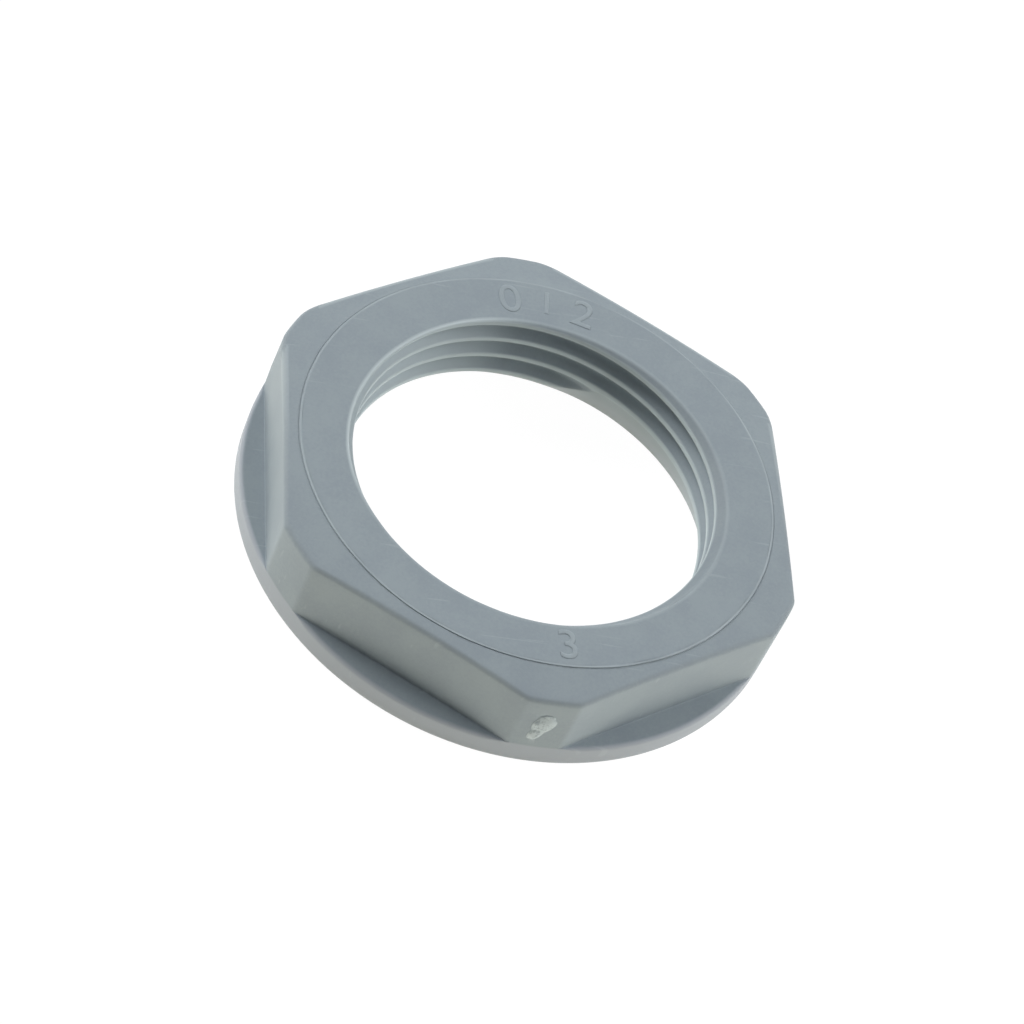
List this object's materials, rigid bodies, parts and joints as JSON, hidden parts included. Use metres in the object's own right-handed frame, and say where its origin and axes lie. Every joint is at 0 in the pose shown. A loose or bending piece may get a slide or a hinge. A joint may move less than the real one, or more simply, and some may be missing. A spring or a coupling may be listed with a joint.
{
  "type": "cable gland locknut",
  "caption": "Moulded plastic locknut that holds a cable gland in a panel: a threaded ring with wrench flats cut down to a round collar.",
  "frame": {"origin": "centre of the collar's underside, on the thread's axis", "axes": "+Z along the thread's axis from the collar towards the ring around the bore, +X square to one wrench flat, +Y towards the corner between two flats"},
  "size_m": [0.033, 0.033, 0.006],
  "materials": {
    "polyamide": "silver grey polyamide, matt and finely clouded from the mould, paler where an edge is rounded"
  },
  "bodies": {
    "root": {"locknut": "polyamide"}
  },
  "joints": []
}
